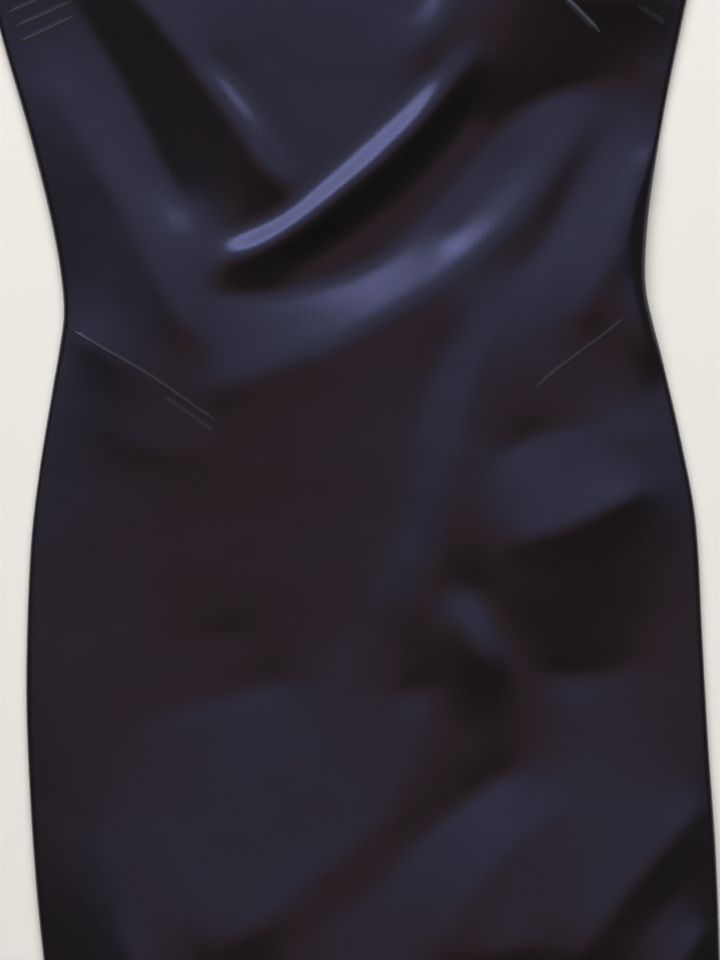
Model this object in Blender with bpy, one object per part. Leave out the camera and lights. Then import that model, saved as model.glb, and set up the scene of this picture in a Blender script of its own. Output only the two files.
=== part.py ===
"""A sheath dress laid flat, face up: front, two back halves, stitched darts and tucks, and a back zip.

The scene is in metres: +X runs to the right of the front as it is seen, +Y from the hem to the neck
and +Z up from the surface that the dress lies on. The tables are in millimetres. In them "up" is
measured along the dress from the waist, "across" from its centre line, and "height" is that of the
front's inner side above the side seams.
"""

import bmesh
import bpy
import numpy as np
from mathutils import Vector
from mathutils.bvhtree import BVHTree

MM = 0.001

# Along the dress, from the waist.
HEM = -570.0
UNDERARM = 220.0
SHOULDER_TIP_UP = 408.0
NECK_POINT_UP = 430.0
FRONT_NECK_UP = 320.0
BACK_NECK_UP = 400.0
ORIGIN_UP = (HEM + NECK_POINT_UP) / 2

# Across the dress, from the centre line.
NECK_HALF = 95.0
SHOULDER_HALF = 172.0
UNDERARM_HALF = 235.0
ARMHOLE_HALF = 158.0

# Cloth, seams and the soft roll of the front over its side and shoulder seams.
WALL = 1.2
SEAM_GAP = 0.3
ROLL_HEIGHT = 3.0
ROLL_WIDTH = 6.0
SATIN = (0.018, 0.017, 0.036)

# Half widths of the dress laid flat: up, left, right.
SIDE_SEAMS = [
    (-570, 217, 219),
    (-480, 221, 222),
    (-387, 227, 223),
    (-307, 229, 221),
    (-240, 228, 220),
    (-160, 222, 219),
    (-107, 214, 212),
    (-53, 203, 202),
    (-25, 197, 196),
    (0, 193, 192),
    (30, 194.5, 193.5),
    (67, 200, 199),
    (120, 211, 210),
    (173, 224, 223),
    (220, 235, 235),
]

# Creases of the front, each a row of stations: across, up, height. The cloth between them hangs free.
CREASES = {
    "neckline": [(-95, 425, 4), (-62, 352, 9), (0, 318, 11), (62, 352, 9), (95, 425, 4)],
    "armhole_left": [(-233, 224, 4), (-206, 243, 8), (-180, 280, 9.5), (-164, 335, 9), (-170, 395, 4)],
    "armhole_right": [(233, 224, 4), (206, 243, 8), (180, 280, 9.5), (164, 335, 9), (170, 395, 4)],
    "bust_left": [(-196, 240, 10), (-150, 250, 16), (-100, 258, 16.5), (-60, 258, 15)],
    "bust_right": [(60, 240, 17), (98, 207, 21.6), (138, 201, 23.6), (180, 192, 21.8), (214, 182, 12)],
    "slack_top": [(-80, 225, 15.5), (-30, 212, 15), (14, 212, 14.6), (44, 225, 14.4)],
    "slack_middle": [(-66, 178, 15.8), (-36, 150, 15.2), (-10, 140, 15), (16, 152, 14.8)],
    "right_rim": [(92, 240, 21), (80, 212, 22.4), (70, 190, 22.6), (60, 170, 21.2), (50, 155, 17.4)],
    "right_rim_foot": [(64, 236, 14.8), (58, 212, 14.8), (49, 192, 14.8), (40, 176, 14.8)],
    "main_crest": [
        (100, 174, 13.6),
        (86, 159, 20),
        (70, 139, 23),
        (54, 120, 23.8),
        (36, 103, 24.2),
        (14, 84, 24.4),
        (-8, 68, 24),
        (-28, 53, 23.2),
        (-48, 41, 22),
        (-68, 33, 20.4),
        (-84, 28, 18.4),
        (-98, 26, 15),
    ],
    "main_foot": [
        (66, 162, 14),
        (54, 146, 15),
        (39, 127, 15.4),
        (20, 110, 15.4),
        (-1, 92, 15.4),
        (-21, 76, 15),
        (-41, 62, 14),
        (-60, 52, 12),
        (-80, 45, 9.6),
        (-98, 46, 7.6),
    ],
    "main_wall": [
        (92, 142, 7.4),
        (75, 117, 9),
        (57, 96, 10),
        (34, 75, 10.6),
        (10, 56, 10.6),
        (-12, 42, 10.4),
        (-36, 29, 10.2),
        (-60, 20, 10.2),
    ],
    "left_rim": [
        (-156, 240, 17.5),
        (-136, 206, 20.4),
        (-122, 186, 21.4),
        (-110, 170, 22),
        (-94, 151, 22.4),
        (-79, 132, 22.6),
        (-67, 112, 22.4),
        (-57, 92, 22),
        (-50, 76, 21),
        (-46, 60, 19),
    ],
    "left_rim_foot": [
        (-98, 170, 16.2),
        (-80, 152, 15.6),
        (-66, 133, 15.2),
        (-54, 114, 15.2),
        (-45, 96, 15),
        (-38, 82, 15),
        (-34, 72, 15.2),
    ],
    "left_valley": [
        (-190, 232, 9),
        (-174, 200, 7),
        (-156, 168, 6.2),
        (-143, 138, 5.9),
        (-130, 106, 5.8),
        (-119, 80, 6),
        (-110, 60, 7.6),
        (-103, 45, 10.4),
    ],
    "right_valley": [
        (176, 140, 6),
        (146, 134, 5.9),
        (119, 123, 5.8),
        (99, 107, 5.8),
        (83, 89, 5.9),
        (68, 73, 6.2),
        (50, 54, 6.8),
        (26, 32, 7),
        (0, 18, 7.4),
        (-30, 10, 8.4),
        (-60, 6, 10),
        (-84, 6, 11.4),
        (-104, 12, 12.6),
    ],
    "right_floor": [(124, 98, 6.6), (98, 74, 7.6), (76, 50, 8.4), (54, 30, 8.6)],
    "left_swell": [
        (-200, 165, 7.4),
        (-186, 135, 9.6),
        (-172, 108, 12),
        (-158, 82, 14),
        (-146, 58, 15.4),
        (-134, 30, 17),
        (-120, 0, 18.4),
        (-100, -36, 19.4),
    ],
    "right_swell": [
        (170, 128, 6.8),
        (152, 110, 8.6),
        (137, 87, 11),
        (121, 62, 12.8),
        (101, 41, 14.5),
        (80, 25, 15.9),
        (60, 10, 16.9),
        (38, -3, 17.4),
        (14, -16, 17.9),
        (-14, -30, 18.4),
        (-50, -42, 18.7),
        (-90, -54, 18),
        (-118, -62, 15.4),
    ],
    "gap_valley": [
        (182, 118, 6),
        (168, 98, 6),
        (153, 74, 6.4),
        (137, 46, 7.6),
        (116, 18, 10.4),
        (92, -6, 13.8),
    ],
    "side_swell": [
        (212, 117, 7.8),
        (206, 98, 9.9),
        (196, 70, 13),
        (182, 42, 15.2),
        (166, 12, 16.6),
        (153, -12, 16.8),
        (140, -34, 16.4),
    ],
    "side_hollow": [(216, 142, 5.6), (200, 136, 5.5), (180, 134, 5.5)],
    "waist_left": [(-190, -12, 8), (-162, -32, 12), (-132, -54, 15)],
    "skirt_ridge": [
        (104, -2, 15.6),
        (92, -20, 17.2),
        (81, -42, 18.6),
        (73, -66, 19.4),
        (66, -92, 19.8),
        (61, -120, 20),
        (54, -150, 19.8),
        (44, -178, 18.8),
        (30, -204, 16.8),
        (14, -228, 14),
    ],
    "skirt_foot": [
        (72, -8, 15),
        (57, -34, 13.6),
        (45, -62, 13),
        (37, -92, 12.8),
        (31, -120, 12.8),
        (23, -150, 12.8),
        (10, -180, 12.4),
        (-8, -208, 11.2),
        (-30, -236, 9.2),
    ],
    "skirt_low": [(-196, -276, 5.9), (-130, -266, 6), (-86, -256, 6.4), (-44, -248, 7.8)],
    "hip_crest": [(84, -168, 16), (104, -164, 19.8), (134, -157, 20.4), (160, -146, 19.2), (188, -132, 15)],
    "hip_foot": [(88, -114, 12.8), (120, -94, 11.6), (168, -94, 11.4), (196, -104, 9.6)],
    "hip_crease": [(49, -185, 15), (59, -207, 17.8), (68, -227, 19.8), (77, -245, 18.8), (87, -262, 14.4)],
    "hip_crease_foot": [
        (64, -182, 13),
        (73, -202, 14),
        (82, -222, 14.4),
        (91, -239, 13.4),
        (100, -255, 10.6),
    ],
    "hip_hollow": [(112, -250, 7.4), (140, -256, 6.6), (172, -250, 6), (204, -232, 5.8)],
    "lap_ridge": [
        (44, -240, 14),
        (34, -280, 14.6),
        (22, -318, 16.2),
        (2, -350, 18),
        (-30, -374, 19.8),
        (-70, -404, 21.4),
        (-110, -432, 22),
    ],
    "lap_hollow": [(68, -270, 13), (72, -292, 11.8), (58, -318, 12)],
    "drag_valley": [
        (104, -306, 8.2),
        (72, -328, 9.8),
        (36, -352, 13.6),
        (4, -384, 17.6),
        (-40, -414, 20.4),
        (-76, -442, 21.8),
    ],
    "drag_crest": [
        (132, -330, 13.6),
        (106, -352, 16.4),
        (76, -378, 19.2),
        (52, -410, 21.8),
        (34, -450, 24),
    ],
    "corner_crest": [
        (218, -336, 7),
        (198, -364, 11.6),
        (170, -392, 17.2),
        (146, -420, 21.4),
        (122, -460, 24),
    ],
    "corner_valley": [(220, -370, 5.8), (199, -396, 8.6), (174, -422, 14.2), (152, -462, 19.4)],
    "hem_edge": [(-200, -568, 6), (-60, -568, 13), (60, -568, 13), (200, -568, 6)],
    "thigh": [(-192, -330, 6.2), (-176, -390, 11.8), (-164, -440, 17.6), (-158, -480, 20)],
    "corner_swell": [(214, -424, 9.6), (198, -454, 14.4), (178, -488, 18.4)],
    "waist_right": [
        (193, 66, 9.8),
        (191, 36, 11.2),
        (190, 8, 12.4),
        (191, -16, 12.9),
        (196, -40, 11.8),
        (204, -64, 9.4),
    ],
    "drag_low": [(-70, -500, 22.4), (0, -484, 23), (60, -486, 22.6)],
    "skirt_left": [(-180, -218, 6.1), (-126, -222, 6.5), (-72, -218, 7.3)],
    "thigh_middle": [(-130, -300, 7.4), (-122, -350, 12), (-116, -400, 17.4), (-112, -440, 21.8)],
    "hip_slack": [(94, -194, 16.6), (122, -206, 15.2)],
    "lap_low": [(-60, -456, 23.2), (-20, -448, 23.6), (10, -446, 23.8), (34, -450, 24)],
    "mid_low": [(66, -440, 23.6), (86, -434, 22.8), (108, -430, 22.2)],
    "hip_left": [(-170, -78, 9.6), (-140, -92, 12), (-104, -98, 13.6)],
    "lap_slack": [(44, -262, 13.4), (14, -262, 11.6)],
}

# How the cloth hangs between the creases: the square grid that its heights are worked out on.
DRAPE_ACROSS = 256.0
DRAPE_LOW = -592.0
DRAPE_HIGH = 448.0
DRAPE_PASSES = [(16.0, 300), (8.0, 260), (4.0, 200)]
CREASE_HOLD = 1.2
CREASE_FADE = 45.0
SOFTEN_PASSES = 3

# The front's mesh: columns between its edge columns, rows below and above the underarm.
FRONT_COLUMNS = 26
FRONT_SKIRT_ROWS = 40
FRONT_BODICE_ROWS = 10

# The back's mesh: shares of the half width, and heights on the centre-back seam.
BACK_COLUMNS = [0, 0.05, 0.12, 0.22, 0.38, NECK_HALF / SHOULDER_HALF, 0.78, 1]
BACK_ROWS = [-570, -480, -400, -320, -240, -160, -100, -50, -20, 0, 25, 70, 120, 170, 220]
BACK_ROWS += [255, 285, 310, 330, 345, 360, 375, 388, 400]

# Darts and tucks stitched from the side seams, each a smooth line: across, up.
TUCK_WIDTH = 3.0
TUCK_WALL = 1.0
TUCK_STEP = 8.0
TUCKS = {
    "hip_dart_left": [(-190, -11), (-172, -23), (-139, -44), (-107, -68), (-86, -83)],
    "hip_dart_right": [(178, -19), (162, -31), (144, -43), (127, -55), (110, -69)],
    "bust_tuck_left_1": [(-222, 178), (-196, 188), (-172, 199)],
    "bust_tuck_left_2": [(-225, 188), (-198, 198), (-172, 209)],
    "bust_tuck_left_3": [(-228, 198), (-204, 207), (-186, 216)],
    "bust_tuck_right_1": [(216, 172.5), (203, 181), (188, 190)],
    "bust_tuck_right_2": [(221, 186), (206, 197), (190, 210)],
    "bust_tuck_right_3": [(170, 168), (156, 183), (141, 199)],
}

# The zip: its tapes inside the centre-back seam, and its slider and pull at the top.
ZIP_TOP = 394.0
ZIP_BOTTOM = -126.0
TAPE_INNER = 2.0
TAPE_OUTER = 15.0
TAPE_WALL = 1.0
TAPE_STEP = 26.0
PULL_UP = 386.8
PULL_LENGTH = 26.0
PULL_TOP_HALF = 2.6
PULL_END_HALF = 3.6
PULL_WALL = 0.6
PULL_HEIGHT = 0.8
BAIL_WIDTH = 1.2
BAIL_BAR = 0.5
BAIL_LEG = 1.2
BAIL_SPAN = 2.4
SLOT_WIDTH = 2.4
SLOT_LENGTH = 6.4
SLIDER_SIZE = (9.0, 12.0, 2.0)
METAL = (0.05, 0.05, 0.07)

# The back is lifted a little where the pull lies under it.
LIFT = PULL_HEIGHT + PULL_WALL + SEAM_GAP
LIFT_LOW = 352.0
LIFT_HIGH = 392.0
LIFT_FLAT = 10.0
LIFT_REACH = 45.0
SLIDER_BASE = LIFT + WALL + SEAM_GAP + TAPE_WALL + SEAM_GAP


def clear_scene():
    for item in list(bpy.data.objects):
        bpy.data.objects.remove(item)


def material(name, colour, roughness, metallic):
    finish = bpy.data.materials.new(name)
    finish.use_nodes = True
    shader = finish.node_tree.nodes["Principled BSDF"]
    shader.inputs["Base Color"].default_value = (*colour, 1)
    shader.inputs["Roughness"].default_value = roughness
    shader.inputs["Metallic"].default_value = metallic
    return finish


def scene_point(across, up, height):
    return Vector((across, up - ORIGIN_UP, height)) * MM


def add_object(name, mesh, finish):
    """A new object, named as its node, from a bmesh."""
    data = bpy.data.meshes.new(name)
    mesh.to_mesh(data)
    mesh.free()
    data.materials.append(finish)
    piece = bpy.data.objects.new(name, data)
    bpy.context.collection.objects.link(piece)
    return piece


# Outlines -----------------------------------------------------------------------------------------


def smooth_path(rows, steps=12):
    """Points of a smooth curve through a table's rows, with a number of steps to each span."""
    rows = np.array(rows, float)
    ends = np.vstack([2 * rows[0] - rows[1], rows, 2 * rows[-1] - rows[-2]])
    t = np.linspace(0, 1, steps, endpoint=False)[:, None]
    spans = [
        0.5 * (2 * b + (c - a) * t + (2 * a - 5 * b + 4 * c - d) * t**2 + (3 * b - a - 3 * c + d) * t**3)
        for a, b, c, d in zip(ends, ends[1:], ends[2:], ends[3:])
    ]
    return np.vstack(spans + [rows[-1:]])


SIDE_CURVE = smooth_path(SIDE_SEAMS)


def side_half(up, across):
    """Half width at the side seam on the side that across is on."""
    left = np.interp(up, SIDE_CURVE[:, 0], SIDE_CURVE[:, 1])
    right = np.interp(up, SIDE_CURVE[:, 0], SIDE_CURVE[:, 2])
    return np.where(np.asarray(across) < 0, left, right)


def armhole_half(share):
    """Half width at the armhole, from the underarm (0) to the shoulder tip (1)."""
    widening = UNDERARM_HALF - ARMHOLE_HALF
    return ARMHOLE_HALF + widening * (1 - share) ** 3 + (SHOULDER_HALF - ARMHOLE_HALF) * share**3


def shoulder_up(across):
    """Height of the shoulder seam, which falls from the neck point to the shoulder tip."""
    fall = (np.abs(across) - NECK_HALF) / (SHOULDER_HALF - NECK_HALF)
    return NECK_POINT_UP + (SHOULDER_TIP_UP - NECK_POINT_UP) * fall


def top_edge(across, neck_up, roundness):
    """Height of a panel's top edge: its neckline curve, then its shoulder seam."""
    if abs(across) > NECK_HALF:
        return shoulder_up(across)
    return neck_up + (NECK_POINT_UP - neck_up) * (abs(across) / NECK_HALF) ** roundness


def panel_point(share, up, neck_up, roundness):
    """Place on a flat panel: share of the half width, and height on the centre line."""
    if up <= UNDERARM:
        return share * float(side_half(up, share)), up
    climb = (up - UNDERARM) / (neck_up - UNDERARM)
    edge = top_edge(share * SHOULDER_HALF, neck_up, roundness)
    return share * armhole_half(climb), UNDERARM + climb * (edge - UNDERARM)


# The front's drape --------------------------------------------------------------------------------


def drape_axes(cell):
    across = np.arange(-DRAPE_ACROSS, DRAPE_ACROSS + cell / 2, cell)
    up = np.arange(DRAPE_LOW, DRAPE_HIGH + cell / 2, cell)
    return across, up


def read_drape(heights, cell, across, up):
    """Height at any place, from the four grid points around it."""
    column = np.clip((across + DRAPE_ACROSS) / cell, 0, heights.shape[1] - 1.001)
    row = np.clip((up - DRAPE_LOW) / cell, 0, heights.shape[0] - 1.001)
    i, j = column.astype(int), row.astype(int)
    right, above = column - i, row - j
    lower = heights[j, i] * (1 - right) + heights[j, i + 1] * right
    upper = heights[j + 1, i] * (1 - right) + heights[j + 1, i + 1] * right
    return lower * (1 - above) + upper * above


def crease_pull(cell, shape):
    """How hard the creases hold each grid point, and at what height. A crease lets go at its ends."""
    hold, held = np.zeros(shape), np.zeros(shape)
    for stations in CREASES.values():
        path = smooth_path(stations, 24)
        steps = np.hypot(np.diff(path[:, 0]), np.diff(path[:, 1]))
        run = np.concatenate([[0], np.cumsum(steps)])
        fade = min(CREASE_FADE, 0.3 * run[-1])
        share = np.clip(np.minimum(run, run[-1] - run) / fade, 0, 1)
        weight = CREASE_HOLD * (share**2 * (3 - 2 * share)) ** 2 * np.gradient(run) / cell
        column = np.rint((path[:, 0] + DRAPE_ACROSS) / cell).astype(int)
        row = np.rint((path[:, 1] - DRAPE_LOW) / cell).astype(int)
        np.add.at(hold, (row, column), weight)
        np.add.at(held, (row, column), weight * path[:, 2])
    return hold, held


def mean_of_neighbours(heights):
    edged = np.pad(heights, 1, mode="edge")
    return 0.25 * (edged[:-2, 1:-1] + edged[2:, 1:-1] + edged[1:-1, :-2] + edged[1:-1, 2:])


def hang_cloth():
    """Heights of cloth held at its seams and creases: each free point takes its neighbours' mean."""
    heights, last_cell = np.full((2, 2), ROLL_HEIGHT), 2 * DRAPE_HIGH
    for cell, passes in DRAPE_PASSES:
        across, up = np.meshgrid(*drape_axes(cell))
        beyond_side = (up < UNDERARM) & (np.abs(across) > side_half(up, across))
        beyond_shoulder = (np.abs(across) > NECK_HALF) & (up > shoulder_up(across))
        seam = beyond_side | beyond_shoulder
        hold, held = crease_pull(cell, across.shape)
        heights = read_drape(heights, last_cell, across, up)
        for _ in range(passes):
            heights = (mean_of_neighbours(heights) + held) / (1 + hold)
            heights[seam] = ROLL_HEIGHT
        last_cell = cell
    for _ in range(SOFTEN_PASSES):
        heights = mean_of_neighbours(heights)
    return heights, last_cell


def front_height(drape, across, up):
    """Height of the front's inner side, with its roll down to the side and shoulder seams."""
    heights, cell = drape
    height = float(read_drape(heights, cell, np.array(across), np.array(up)))
    to_seam = ROLL_WIDTH
    if up <= UNDERARM:
        to_seam = float(side_half(up, across)) - abs(across)
    elif abs(across) > NECK_HALF:
        to_seam = float(shoulder_up(across)) - up
    roll = max(0.0, 1 - to_seam / ROLL_WIDTH)
    return height - ROLL_HEIGHT * roll**2


# Panels -------------------------------------------------------------------------------------------


def panel_mesh(columns, rows, place):
    """A grid whose columns and rows are placed one by one by place(column value, row value)."""
    mesh = bmesh.new()
    across_cells, up_cells = len(columns) - 1, len(rows) - 1
    bmesh.ops.create_grid(mesh, x_segments=across_cells, y_segments=up_cells, size=1)
    for vert in mesh.verts:
        column = columns[round((vert.co.x + 1) / 2 * across_cells)]
        row = rows[round((vert.co.y + 1) / 2 * up_cells)]
        vert.co = place(column, row)
    bmesh.ops.triangulate(mesh, faces=mesh.faces)
    return mesh


def thicken(piece, wall):
    """Give a laid sheet its thickness, upwards from the side that it lies on."""
    solid = piece.modifiers.new("wall", "SOLIDIFY")
    solid.thickness = wall * MM
    solid.offset = 1


def build_front(finish):
    drape = hang_cloth()
    edge_share = ROLL_WIDTH / UNDERARM_HALF
    neck_share = NECK_HALF / SHOULDER_HALF
    inner = np.linspace(edge_share - 1, 1 - edge_share, FRONT_COLUMNS + 1)
    columns = sorted([-1, -neck_share, *inner, neck_share, 1])
    skirt = np.linspace(HEM, UNDERARM, FRONT_SKIRT_ROWS + 1)
    bodice = np.linspace(UNDERARM, FRONT_NECK_UP, FRONT_BODICE_ROWS + 1)[1:]

    def place(share, row):
        across, up = panel_point(share, row, FRONT_NECK_UP, 2.6)
        return scene_point(across, up, WALL + SEAM_GAP + front_height(drape, across, up))

    front = add_object("front", panel_mesh(columns, [*skirt, *bodice], place), finish)
    thicken(front, WALL)
    return front


def back_lift(across, up):
    """How far the back is lifted over the zip's pull."""
    past_end = max(LIFT_LOW - up, 0, up - LIFT_HIGH)
    distance = float(np.hypot(across, past_end))
    share = min(max((LIFT_REACH - distance) / (LIFT_REACH - LIFT_FLAT), 0), 1)
    return LIFT * share**2 * (3 - 2 * share)


def build_back(name, side, finish):
    """One back half, its centre edge half a seam gap from the centre line."""

    def place(share, row):
        across, up = panel_point(side * share, row, BACK_NECK_UP, 2.2)
        across = side * max(abs(across), SEAM_GAP / 2)
        return scene_point(across, up, back_lift(across, up))

    mesh = panel_mesh(BACK_COLUMNS, BACK_ROWS, place)
    if side < 0:
        bmesh.ops.reverse_faces(mesh, faces=mesh.faces)
    back = add_object(name, mesh, finish)
    thicken(back, WALL)
    return back


# Strips that lie on a panel -----------------------------------------------------------------------


def upper_surface(pieces):
    """The pieces' finished surfaces, for finding how high something laid on them lies."""
    depsgraph = bpy.context.evaluated_depsgraph_get()
    verts, faces = [], []
    for piece in pieces:
        shape = piece.evaluated_get(depsgraph).to_mesh()
        faces += [[len(verts) + index for index in face.vertices] for face in shape.polygons]
        verts += [vert.co.copy() for vert in shape.vertices]
    return BVHTree.FromPolygons(verts, faces)


def surface_height(surface, across, up):
    """Height of a surface in millimetres, or zero beside it."""
    hit = surface.ray_cast(scene_point(across, up, 100), Vector((0, 0, -1)))[0]
    return hit.z / MM if hit else 0.0


def strip_heights(surface, edges):
    """Heights of a strip's edge points, raised where the surface between them stands higher."""
    heights = [[surface_height(surface, *point) + SEAM_GAP for point in pair] for pair in edges]
    for row in range(len(edges) - 1):
        for along in (0, 0.2, 0.4, 0.6, 0.8, 1):
            for over in (0, 0.25, 0.5, 0.75, 1):
                corners = [(1 - along) * (1 - over), (1 - along) * over, along * (1 - over), along * over]
                points = [*edges[row], *edges[row + 1]]
                levels = [*heights[row], *heights[row + 1]]
                spot = sum(share * np.array(point) for share, point in zip(corners, points))
                level = sum(share * value for share, value in zip(corners, levels))
                short = surface_height(surface, *spot) + SEAM_GAP - level
                if short > 0:
                    heights[row] = [value + short for value in heights[row]]
                    heights[row + 1] = [value + short for value in heights[row + 1]]
    return heights


def build_strip(name, edges, wall, surface, finish):
    """A narrow strip laid on a surface, from pairs of points on its two edges."""
    heights = strip_heights(surface, edges)

    def place(over, row):
        return scene_point(*edges[row][over], heights[row][over])

    strip = add_object(name, panel_mesh([0, 1], range(len(edges)), place), finish)
    thicken(strip, wall)
    return strip


def edges_along(stations):
    """Pairs of edge points, left then right, of a tuck that follows a smooth line."""
    path = smooth_path(stations)
    run = np.concatenate([[0], np.cumsum(np.hypot(*np.diff(path, axis=0).T))])
    stops = np.linspace(0, run[-1], round(run[-1] / TUCK_STEP) + 1)
    line = np.column_stack([np.interp(stops, run, path[:, 0]), np.interp(stops, run, path[:, 1])])
    heading = np.gradient(line, axis=0)
    heading /= np.hypot(*heading.T)[:, None]
    aside = np.column_stack([-heading[:, 1], heading[:, 0]]) * TUCK_WIDTH / 2
    return [(tuple(point + offset), tuple(point - offset)) for point, offset in zip(line, aside)]


def build_tucks(front):
    surface = upper_surface([front])
    for name, stations in TUCKS.items():
        finish = material(name + "_satin", SATIN, 0.35, 0)
        build_strip(name, edges_along(stations), TUCK_WALL, surface, finish)


# The zip ------------------------------------------------------------------------------------------


def build_tapes(backs):
    surface = upper_surface(backs)
    steps = round((ZIP_TOP - ZIP_BOTTOM) / TAPE_STEP)
    for name, side in (("zip_tape_left", -1), ("zip_tape_right", 1)):
        near, far = sorted((side * TAPE_INNER, side * TAPE_OUTER))
        edges = [((near, up), (far, up)) for up in np.linspace(ZIP_BOTTOM, ZIP_TOP, steps + 1)]
        build_strip(name, edges, TAPE_WALL, surface, material(name + "_weave", SATIN, 0.8, 0))


def block(name, low, high, finish):
    """A plain block between two corners, in millimetres: across, up, height."""
    mesh = bmesh.new()
    bmesh.ops.create_cube(mesh, size=1)
    low, high = scene_point(*low), scene_point(*high)
    bmesh.ops.scale(mesh, verts=mesh.verts, vec=high - low)
    bmesh.ops.translate(mesh, verts=mesh.verts, vec=(low + high) / 2)
    return add_object(name, mesh, finish)


def use_guide(piece, guide, operation):
    """Cut a guide out of a piece or join it on, and keep the guide out of the model."""
    guide.hide_render = True
    guide.display_type = "WIRE"
    change = piece.modifiers.new(guide.name, "BOOLEAN")
    change.operation = operation
    change.object = guide


def build_slider(finish):
    """The slider's body inside the dress, with a bail that reaches out through the seam."""
    wide, long, thick = SLIDER_SIZE
    low_up = PULL_UP - long / 2
    slider = block(
        "zip_slider",
        (-wide / 2, low_up, SLIDER_BASE),
        (wide / 2, low_up + long, SLIDER_BASE + thick),
        finish,
    )
    bevel = slider.modifiers.new("edges", "BEVEL")
    bevel.width = 0.6 * MM
    bevel.segments = 2
    legs = [PULL_UP - BAIL_LEG, PULL_UP, PULL_UP + BAIL_SPAN, PULL_UP + BAIL_SPAN + BAIL_LEG]
    inside = SLIDER_BASE + thick / 2
    outline = [(legs[0], 0), (legs[3], 0), (legs[3], inside), (legs[2], inside)]
    outline += [(legs[2], BAIL_BAR), (legs[1], BAIL_BAR), (legs[1], inside), (legs[0], inside)]
    mesh = bmesh.new()
    face = mesh.faces.new([mesh.verts.new(scene_point(-BAIL_WIDTH / 2, up, level)) for up, level in outline])
    grown = bmesh.ops.extrude_face_region(mesh, geom=[face])["geom"]
    verts = [item for item in grown if isinstance(item, bmesh.types.BMVert)]
    bmesh.ops.translate(mesh, verts=verts, vec=Vector((BAIL_WIDTH * MM, 0, 0)))
    bmesh.ops.recalc_face_normals(mesh, faces=mesh.faces)
    use_guide(slider, add_object("bail_guide", mesh, finish), "UNION")


def build_pull(finish):
    """The pull tab, outside under the back: a tapered tab with round ends, and an eye for the bail."""
    mesh = bmesh.new()
    top = PULL_UP + BAIL_SPAN - 0.4
    ends = [(top - PULL_TOP_HALF, PULL_TOP_HALF, 0), (top - PULL_LENGTH, PULL_END_HALF, np.pi)]
    outline = [
        scene_point(half * np.cos(start + turn), up + half * np.sin(start + turn), PULL_HEIGHT)
        for up, half, start in ends
        for turn in np.linspace(0, np.pi, 9)
    ]
    face = mesh.faces.new([mesh.verts.new(point) for point in outline])
    grown = bmesh.ops.extrude_face_region(mesh, geom=[face])["geom"]
    verts = [item for item in grown if isinstance(item, bmesh.types.BMVert)]
    bmesh.ops.translate(mesh, verts=verts, vec=Vector((0, 0, PULL_WALL * MM)))
    bmesh.ops.recalc_face_normals(mesh, faces=mesh.faces)
    pull = add_object("zip_pull", mesh, finish)
    eye = block("eye_guide", (-1.2, PULL_UP - 2.6, 0), (1.2, PULL_UP + 0.4, LIFT), finish)
    use_guide(pull, eye, "DIFFERENCE")


def open_seam(backs, finish):
    """Leave the centre-back seam open round the bail."""
    middle = PULL_UP + BAIL_SPAN / 2
    slot = block(
        "slot_guide",
        (-SLOT_WIDTH / 2, middle - SLOT_LENGTH / 2, 0),
        (SLOT_WIDTH / 2, middle + SLOT_LENGTH / 2, SLIDER_BASE),
        finish,
    )
    for back in backs:
        use_guide(back, slot, "DIFFERENCE")


clear_scene()
front = build_front(material("front_satin", SATIN, 0.35, 0))
build_tucks(front)
backs = [
    build_back("back_left", -1, material("back_left_satin", SATIN, 0.35, 0)),
    build_back("back_right", 1, material("back_right_satin", SATIN, 0.35, 0)),
]
build_tapes(backs)
open_seam(backs, material("guide", METAL, 0.5, 0))
build_slider(material("slider_enamel", METAL, 0.3, 1))
build_pull(material("pull_enamel", METAL, 0.3, 1))
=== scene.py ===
"""A sleeveless sheath dress of dark navy satin, laid flat, face up.

The scene is in metres. The dress's own tables are in millimetres: "across" is measured from its centre
line, to the right of the front as it is seen, "up" along it from the waist, and "height" above the
side seams.
"""

import math

import bmesh
import bpy
import numpy as np
from mathutils import Matrix, Vector, noise
from mathutils.bvhtree import BVHTree


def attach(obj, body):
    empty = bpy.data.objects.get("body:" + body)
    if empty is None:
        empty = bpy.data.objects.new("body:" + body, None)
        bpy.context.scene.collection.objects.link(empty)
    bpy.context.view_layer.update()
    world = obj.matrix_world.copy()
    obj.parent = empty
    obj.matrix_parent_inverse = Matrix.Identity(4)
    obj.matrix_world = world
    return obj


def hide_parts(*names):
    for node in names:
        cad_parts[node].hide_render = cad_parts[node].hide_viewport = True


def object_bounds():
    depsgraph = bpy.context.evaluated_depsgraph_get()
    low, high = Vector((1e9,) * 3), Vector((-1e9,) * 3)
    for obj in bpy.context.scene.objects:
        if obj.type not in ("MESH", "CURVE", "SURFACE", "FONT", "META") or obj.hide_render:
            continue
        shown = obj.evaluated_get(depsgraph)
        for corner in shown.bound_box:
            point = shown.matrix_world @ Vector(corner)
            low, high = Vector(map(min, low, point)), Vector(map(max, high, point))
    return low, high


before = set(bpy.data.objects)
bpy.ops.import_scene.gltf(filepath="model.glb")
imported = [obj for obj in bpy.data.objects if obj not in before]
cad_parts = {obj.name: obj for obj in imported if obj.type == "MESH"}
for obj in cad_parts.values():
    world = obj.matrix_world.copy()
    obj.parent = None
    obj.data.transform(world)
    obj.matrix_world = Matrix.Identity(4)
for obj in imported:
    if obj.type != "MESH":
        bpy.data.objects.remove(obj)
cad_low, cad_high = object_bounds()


# Front ============================================================================================
# One piece of polyester satin from the shoulders to the hem, cut with a round neck and no sleeves and
# sewn to the back at the shoulders and sides. Laid flat, it falls in soft drag folds from bust to hem.

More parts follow.
